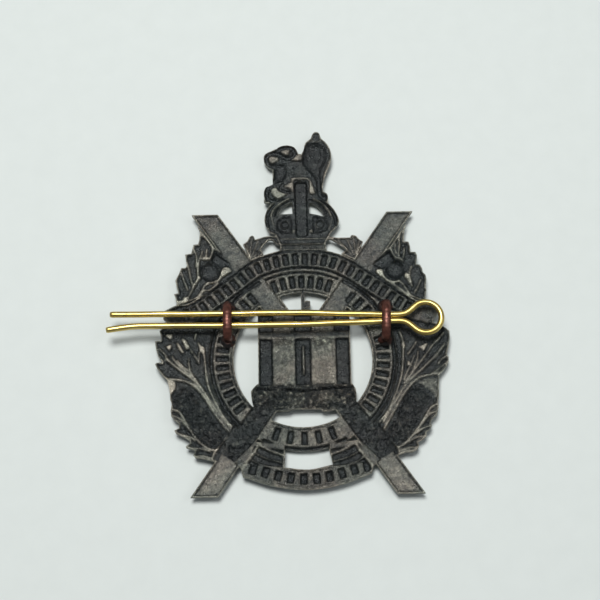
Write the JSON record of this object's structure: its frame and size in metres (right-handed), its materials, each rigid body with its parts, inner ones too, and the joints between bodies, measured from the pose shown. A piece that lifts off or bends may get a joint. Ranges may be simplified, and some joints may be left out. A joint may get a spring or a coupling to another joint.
{
  "type": "cap badge",
  "caption": "Die-struck openwork cap badge with a hollow back, a pair of wire lugs brazed to it, and a brass split pin through the lugs",
  "frame": {"origin": "the crossing of the saltire, on the plane of the badge's foremost relief, where the badge rests when it lies face down", "axes": "+Z out of the badge's back, +Y towards the lion at the top, +X towards the eye of the split pin"},
  "size_m": [0.0612, 0.0681, 0.0068],
  "materials": {
    "white_metal": "die-struck white metal with a dark patina",
    "copper_wire": "tarnished copper wire",
    "braze": "dull brazing metal",
    "brass_wire": "drawn brass, bright"
  },
  "bodies": {
    "badge": {"badge_plate": "white_metal", "left_lug": "copper_wire", "right_lug": "copper_wire", "left_lug_braze": "braze", "right_lug_braze": "braze"},
    "pin": {"split_pin": "brass_wire"}
  },
  "joints": [
    {"name": "pin_slide", "type": "slide", "parent": "badge", "child": "pin", "axis": [1, -0.0081, 0], "range_m": [-0.0025, 0.0497]}
  ]
}
